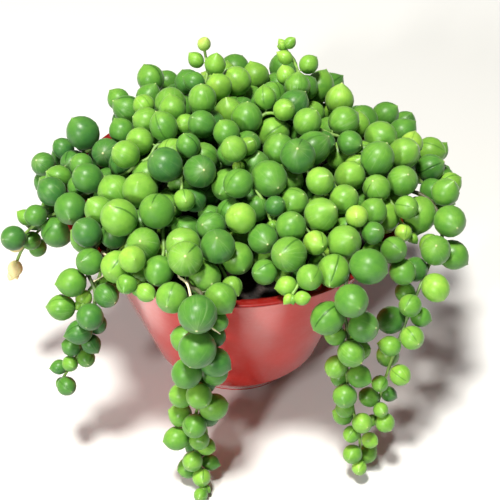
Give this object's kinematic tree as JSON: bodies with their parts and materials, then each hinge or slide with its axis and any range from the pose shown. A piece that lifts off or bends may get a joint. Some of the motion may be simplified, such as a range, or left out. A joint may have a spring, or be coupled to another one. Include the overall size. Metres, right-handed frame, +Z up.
{
  "type": "potted string of pearls",
  "caption": "Trailing succulent with round bead leaves on thin stems, domed over and hanging from a shallow red plastic nursery pot with a flat foot to rest on.",
  "frame": {"origin": "centre of the flat foot of the pot, on the surface it stands on", "axes": "+Z up; -Y towards the front, where the longest stems trail; +X to the viewer's right"},
  "size_m": [0.1325, 0.1316, 0.0984],
  "materials": {
    "pot": "thin translucent red plastic, moulded, smooth and glossy",
    "soil": "dark moist peat and bark crumbs",
    "leaves": "waxy round succulent leaves, light to deep green, on thin green-brown stems",
    "dry_stems": "dry straw-coloured old stem"
  },
  "bodies": {
    "root": {"pot": "pot", "soil": "soil", "trail_left": "leaves", "trail_left_front": "leaves", "trail_front": "leaves", "trail_right_front": "leaves", "trail_right": "leaves", "spill_left": "leaves", "spill_right": "leaves", "sprout_left": "leaves", "sprout_right": "leaves", "trail_back": "leaves", "trail_back_left": "leaves", "crown_a1": "leaves", "crown_a2": "leaves", "crown_a3": "leaves", "crown_b1": "leaves", "crown_b2": "leaves", "crown_b3": "leaves", "crown_b4": "leaves", "crown_b5": "leaves", "crown_b6": "leaves", "crown_b7": "leaves", "crown_b8": "leaves", "crown_c1": "leaves", "crown_c2": "leaves", "crown_c3": "leaves", "crown_c4": "leaves", "crown_c5": "leaves", "crown_c6": "leaves", "crown_c7": "leaves", "crown_c8": "leaves", "crown_c9": "leaves", "crown_c10": "leaves", "crown_c11": "leaves", "crown_c12": "leaves", "crown_c13": "leaves", "crown_c14": "leaves", "crown_c15": "leaves", "crown_c16": "leaves", "crown_c17": "leaves", "dry_stem_long": "dry_stems", "dry_stem_left": "dry_stems"}
  },
  "joints": []
}
